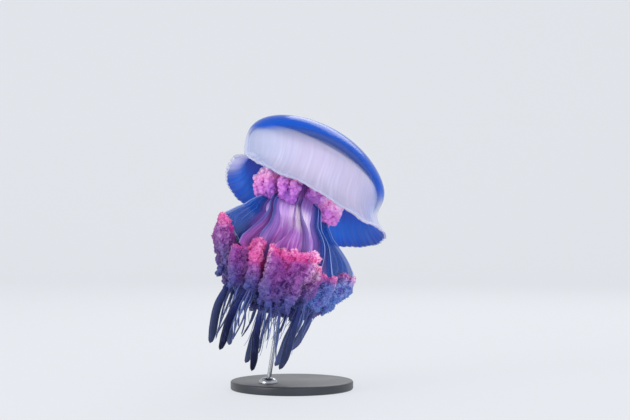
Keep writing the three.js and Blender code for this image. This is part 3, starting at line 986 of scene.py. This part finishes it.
def fingers(name, piece, kind, number, values):
    # a coat of small tapering fingers, as one mesh
    count, sides, rings = kind["fingers"], finger["sides"], finger["rings"]
    draw = np.random.default_rng(kind["fingerSeed"] + number)
    root, normal, loops, weights = scattered(piece.data, count, draw)
    normal /= np.linalg.norm(normal, axis=1)[:, None] + 1e-12
    plan = taken(read(piece.data.uv_layers.active.data, "uv", 2), loops, weights)
    along = normal + (-upward * finger["droop"] + draw.normal(0, finger["stray"], (count, 3)))
    along /= np.linalg.norm(along, axis=1)[:, None]
    side = np.cross(along, draw.normal(0, 1, (count, 3)))
    side /= np.linalg.norm(side, axis=1)[:, None] + 1e-12
    other = np.cross(along, side)
    clump = np.array([noise.noise(Vector(p) / finger["clumpScale"]) for p in root])
    grown = np.clip(0.5 + 0.9 * clump + draw.normal(0, 0.18, count), 0, 1)
    length = mm * mix(*kind["fingerLength"], grown)
    thick = mm * kind["fingerWidth"] * draw.uniform(0.75, 1.25, count)
    bend = draw.normal(0, finger["bend"], (count, 3))
    rows, plans, tips = [], [], []
    for up, wide in rings:
        rise, lean = up * length - finger["sink"], up * up * length
        centre = root + along * rise[:, None] + bend * lean[:, None]
        reach = finger["mapReach"] * (1 - up)
        for k in range(sides):
            angle = 2 * math.pi * k / sides
            ring = side * math.cos(angle) + other * math.sin(angle)
            rows.append(centre + ring * (thick * wide)[:, None])
            plans.append(plan + [reach * math.cos(angle), reach * math.sin(angle)])
            tips.append(up)
    rows.append(root + along * (length - finger["sink"])[:, None] + bend * length[:, None])
    plans.append(plan)
    tips.append(1)
    perFinger = len(rows)
    places = np.stack(rows, axis=1).reshape(-1, 3)
    plans = np.stack(plans, axis=1).reshape(-1, 2)
    faces = []
    for low in range(0, (len(rings) - 1) * sides, sides):
        high = low + sides
        for k in range(sides):
            nextK = (k + 1) % sides
            faces += [(low + k, low + nextK, high + nextK), (low + k, high + nextK, high + k)]
    top = (len(rings) - 1) * sides
    faces += [(top + k, top + (k + 1) % sides, perFinger - 1) for k in range(sides)]
    faces = (np.array(faces)[None] + (np.arange(count) * perFinger)[:, None, None]).reshape(-1, 3)
    mesh = triangleMesh(name, places, faces)
    layer = mesh.uv_layers.new(name="OFBake")
    layer.data.foreach_set("uv", plans[faces.ravel()].ravel())
    mesh.validate()
    setValues(mesh, values(np.repeat(root, perFinger, axis=0)))
    setValues(mesh, {"tip": np.tile(tips, count) * 0.75 + 0.25})
    coat = placed(name, mesh)
    only(coat)
    bpy.ops.object.shade_smooth()
    return coat


def frillFinish():
    f = Finish("frillFlesh")
    down, tip, cool, rim, warm = f.attributes("down", "tip", "cool", "rim", "warm")
    patch = f.grain(f.inSpace(), 55, 2)
    fleck = f.grain(f.inSpace((1, 1, 1.3)), 250, 2)
    where = (down - 0.3 * warm * (1 - f.between(down, 0.4, 0.85))).math("MAXIMUM", 0.16 * warm)
    where = where + (patch - 0.5) * 0.4 * (1 - 0.5 * warm)
    deep = f.ramp(where, [
        (0, 186, 60, 150), (0.13, 180, 34, 118), (0.3, 116, 38, 128),
        (0.6, 76, 34, 110), (0.82, 48, 40, 108), (1, 32, 46, 112),
    ])
    light = f.ramp(where, [
        (0, 252, 170, 218), (0.13, 226, 96, 174), (0.34, 164, 84, 168),
        (0.74, 116, 86, 164), (1, 72, 84, 160),
    ])
    coolDeep = f.blend(f.between(patch, 0.4, 0.6), (22, 66, 148), (70, 60, 148))
    deep = f.blend(cool, deep, coolDeep)
    light = f.blend(cool, light, (104, 138, 204))
    # darker in the creases and at the fingers' roots, paler on the crests and at the fingers' tips: painted
    # shade and painted highlight over the flesh's own colours
    tone = f.blend(f.between(tip + (fleck - 0.5) * 0.6, 0.3, 0.95), deep, light)
    # painted highlights: white-pink specks on the crests and finger tips along the frills' outer edges and
    # tops
    tuftHighlight = rim * f.between(fleck, 0.38, 0.56) * f.between(tip, 0.3, 0.7) * (1 - 0.6 * cool)
    tone = f.blend(tuftHighlight * 0.9, tone, (255, 226, 246))
    alpha = 1 - 0.2 * f.between(down, 0.8, 1.05)
    return f.surface(
        Base_Color=tone, Roughness=0.42, Alpha=alpha, Coat_Weight=0.15, Coat_Roughness=0.2,
        Normal=f.bump(fleck, 0.0006, 0.5),
    )


def armValues(arm):
    def values(places):
        place = toBody(places)
        down = armShare(arm, place[:, 2])
        _, sideways = inArm(arm, place)
        lifted = arm.get("lift", 0) * step(sideways, -4, 10) / (arm["crest"] - arm["foot"])
        down = down + lifted * (1 - step(down, 0, 0.6))
        width = mix(arm["spread"], 14, np.clip(down, 0, 1))
        # where the painted highlight goes: the frills' outer sides, and their tops at 0.7
        rim = step(np.abs(sideways), width + 1, width + 7) * (1 - step(down, -0.2, 0.9))
        rim = np.maximum(rim * arm.get("rim", 1), 0.7 - 0.7 * step(down, -0.02, 0.09))
        cool = arm.get("cool", 0) * step(down, -0.05, 0.35)
        if "coolSide" in arm:
            cool = cool * step(sideways, -arm["coolSide"], arm["coolSide"])
        warm = arm.get("warm", 0) * step(sideways, *arm.get("warmSide", (0, 1)))
        return {"down": down, "rim": rim, "cool": cool, "warm": warm}

    return values


def flesh(skin, coatName, kind, number, values, material, node):
    # a budded skin and its coat of fingers, which stand for one node
    budded(skin, kind, number)
    unwrapped(skin)
    setValues(skin.data, {"tip": crestValues(skin, *kind["crease"]), **values(points(skin.data))})
    coat = fingers(coatName, skin, kind, number, values)
    keep(skin, material, "frill", node)
    keep(coat, material, "frill", node)


def makeFrills(material):
    for i, (key, arm) in enumerate(arms.items()):
        node = "arm_" + key + "_frills"
        skin = copyOf(node, "frills_" + key)
        cutBelow(skin, arm["foot"] + 1)
        rounded(skin)
        crown(skin, arm)
        flesh(skin, "frill_coat_" + key, frills, i, armValues(arm), material, node)


def scapuletFinish():
    f = Finish("scapuletFlesh")
    tip, down, right, inner = f.attributes("tip", "down", "right", "inner")
    patch = f.grain(f.inSpace(), 60, 2)
    fleck = f.grain(f.inSpace(), 300, 2)
    violet = 1 - right
    where = (down + (patch - 0.5) * 0.5) * (0.75 + 0.15 * violet) + 0.24 * violet * inner
    deep = f.ramp(where, [
        (0, 214, 130, 206), (0.45, 208, 62, 164), (0.8, 164, 70, 180), (1, 126, 70, 172),
    ])
    light = f.ramp(where, [
        (0, 255, 236, 248), (0.45, 254, 188, 230), (0.8, 222, 138, 218), (1, 188, 112, 206),
    ])
    # darker in the creases, paler on the crests and finger tips: painted shade and painted highlight over
    # the flesh's own pinks
    tone = f.blend(f.between(tip + (fleck - 0.5) * 0.4, 0.15, 0.9), deep, light)
    # a painted highlight on the crests of the right-hand ruffles
    pale = right * f.between(tip, 0.2, 0.8) * (1 - f.between(down, 0.76, 0.96))
    tone = f.blend(pale * 0.8, tone, (255, 214, 240))
    # a painted glow: the colour is also given as emission, most on the right, to light what the bell shades
    lit = 0.2 + 0.8 * right * (1 - 0.7 * f.between(down, 0.78, 1))
    return f.surface(
        Base_Color=tone, Emission_Color=f.blend(lit, (0, 0, 0), tone), Emission_Strength=0.3,
        Roughness=0.45, Coat_Weight=0.15, Coat_Roughness=0.2, Normal=f.bump(fleck, 0.0006, 0.5),
    )


def scapuletValues(places):
    # from the top of the ruffles to their foot, from left to right, and towards the stalk
    x, y, z = toBody(places).T
    fromStalk = np.hypot(x + stalk["lean"] / 2, y)
    return {"down": step(-z, -30, 14), "right": step(x, 0, 40), "inner": 1 - step(fromStalk, 48, 66)}


def makeScapulets(material):
    for i, key in enumerate(arms):
        node = "scapulets_" + key
        skin = copyOf(node, node + "_skin")
        rounded(skin)
        flesh(skin, node + "_coat", scapulets, i, scapuletValues, material, node)


makeFrills(frillFinish())
makeScapulets(scapuletFinish())
print("frills ready")

# long dark clubs and finer threads
filaments = {
    "rows": 30,
    "columns": 12,
    "sway": 1.8,
    "seed": 5,
    "clubWidth": (2.8, 5.2),
    "clubBow": 5,
    "clubSunk": 0.1,  # how far up into the frills a club begins, as a share of its length
}
# start and end are shares of the way down the frills and of the way from there to the club's tip
ribbons = {
    "count": 2, "start": 0.8, "out": (46, 62), "side": (4, 12), "sway": (0, 5), "end": (0.35, 0.95),
    "phase": (0, 6), "radius": (1.7, 0.9), "dark": 0.65,
}
hairs = {
    "count": 7, "start": 0.85, "out": (40, 66), "side": (-14, 14), "sway": (-6, 6), "end": (0.2, 0.8),
    "phase": (0, 6), "radius": (0.8, 0.35), "dark": 0.0,
}


def thread(path, radiusAt, dark, flat=1.0):
    def place(across, down):
        angle = across * 2 * np.pi
        radius = radiusAt(down) * np.sqrt(np.clip(np.minimum(down, 1 - down) * 22, 0, 1))
        lobes = 1 + 0.12 * np.cos(3 * angle)
        ring = np.stack([np.cos(angle) * flat, np.sin(angle) / flat, np.zeros_like(angle)], axis=-1)
        return path(down) + ring * (radius * lobes)[:, None]

    def values(across, down):
        return {"down": down, "dark": np.full(len(down), dark)}

    return wrapped("thread", filaments["columns"], filaments["rows"], place, values)


def clubPath(arm):
    top = alongArm(arm, *arm["root"], arm["foot"])
    tip = np.array(arm["tip"], float)
    top = top + (top - tip) * filaments["clubSunk"]
    angle = math.radians(arm["heading"])
    bow = filaments["clubBow"] * np.array([math.cos(angle), math.sin(angle), 0])

    def path(down):
        share = down[:, None]
        wave = np.stack([np.sin(9 * down), np.cos(7 * down), 0 * down], axis=-1) * 0.8
        return top + (tip - top) * share + bow * np.sin(np.pi * share) + wave

    return path


def clubRadius(down):
    return mix(*filaments["clubWidth"], step(down, 0.1, 0.5)) * mix(1, 0.6, step(down, 0.8, 1))


def sidePath(arm, start, out, side, sway, end, phase):
    height = mix(arm["crest"], arm["foot"], start)
    root = alongArm(arm, out, side, height)
    straight = np.array(arm["tip"], float) - alongArm(arm, *arm["root"], arm["foot"])
    drop = mix(arm["foot"], arm["tip"][2], end) - height
    straight = straight * (drop / straight[2])
    outward = alongArm(arm, 0, sway, height) - alongArm(arm, 0, 0, height)

    def path(down):
        share = down[:, None]
        wave = np.stack([np.sin(7 * down + phase), np.cos(6 * down + 2 * phase), 0 * down], axis=-1)
        return root + straight * share + outward * share**1.3 + filaments["sway"] * wave * share

    return path


def strand(arm, kind, draw, hand=1):
    keys = ("out", "side", "sway", "end", "phase")
    out, side, sway, end, phase = [draw.uniform(*kind[key]) for key in keys]
    path = sidePath(arm, kind["start"], out, hand * side, hand * sway, end, phase)
    return thread(path, lambda down: mix(*kind["radius"], down), kind["dark"])


def filamentFinish():
    f = Finish("filaments")
    down, dark = f.attributes("down", "dark")
    cloud = f.grain(f.inSpace((1, 1, 0.25)), 300, 2)
    deep = f.ramp(down, [
        (0, 62, 62, 128), (0.2, 28, 38, 96), (0.5, 10, 18, 58), (1, 4, 9, 34),
    ])
    pale = f.ramp(down, [(0, 112, 108, 176), (0.4, 98, 116, 182), (1, 112, 132, 196)])
    tone = f.blend(dark, pale, deep)
    tone = f.blend(f.between(cloud, 0.5, 0.8) * 0.2, tone, (84, 98, 160))
    alpha = 0.6 + 0.37 * f.between(down, 0.05, 0.35) * dark
    return f.surface(
        Base_Color=tone, Roughness=0.3, IOR=1.38, Specular_IOR_Level=0.25, Alpha=alpha,
        Normal=f.bump(cloud, 0.0005, 0.4),
    )


def makeFilaments(material):
    draw = np.random.default_rng(filaments["seed"])
    for key, arm in arms.items():
        strands = [thread(clubPath(arm), clubRadius, arm["dark"], arm.get("flat", 1.0))]
        for hand in (-1, 1):
            strands += [strand(arm, ribbons, draw, hand) for _ in range(ribbons["count"])]
        strands += [strand(arm, hairs, draw) for _ in range(hairs["count"])]
        clubs = ("club_" + key + "_upper", "club_" + key + "_lower")
        keep(joined("filaments_" + key, strands), material, "filament", *clubs)


makeFilaments(filamentFinish())
print("filaments ready")

stand = {"baseColour": (38, 41, 48), "wornColour": (50, 54, 62), "radius": 85, "height": 12, "edge": 2.4}


def baseFinish():
    f = Finish("standBase")
    grain = f.grain(f.inSpace(), 900, 3)
    wear = f.grain(f.inSpace(), 14, 3)
    tone = f.blend(f.between(wear, 0.3, 0.8), stand["baseColour"], stand["wornColour"])
    return f.surface(
        Base_Color=tone, Roughness=f.between(wear, 0.2, 0.8, 0.36, 0.5),
        Coat_Weight=0.2, Coat_Roughness=0.3, Normal=f.bump(grain, 0.0002, 0.5),
    )


def steelFinish():
    f = Finish("standSteel")
    brushed = f.grain(f.inSpace((60, 60, 2)), 18, 3)
    tone = f.blend(brushed, (168, 172, 178), (206, 208, 212))
    return f.surface(
        Base_Color=tone, Metallic=1.0, Roughness=f.between(brushed, 0.2, 0.8, 0.2, 0.34),
        Normal=f.bump(brushed, 0.00004, 0.3),
    )


def makeStand():
    only()
    radius, height = stand["radius"] * mm, stand["height"] * mm
    bpy.ops.mesh.primitive_cylinder_add(vertices=160, radius=radius, depth=height)
    bpy.ops.transform.translate(value=(0, 0, height / 2))
    base = bpy.context.object
    base.name = "stand_round_base"
    bpy.ops.object.transform_apply(location=True, rotation=True, scale=True)
    apply(base, "BEVEL", width=stand["edge"] * mm, segments=4, limit_method="ANGLE")
    bpy.ops.object.shade_smooth_by_angle(angle=math.radians(40))
    keep(base, baseFinish(), "stand_base", "stand_base")
    steel = steelFinish()
    for node in ("stand_boss", "stand_rod"):
        copy = copyOf(node, node + "_smooth")
        apply(copy, "BEVEL", width=0.0004, segments=2, limit_method="ANGLE", angle_limit=math.radians(40))
        only(copy)
        bpy.ops.object.shade_smooth_by_angle(angle=math.radians(40))
        keep(copy, steel, "stand_steel", node)


makeStand()
print("stand ready")
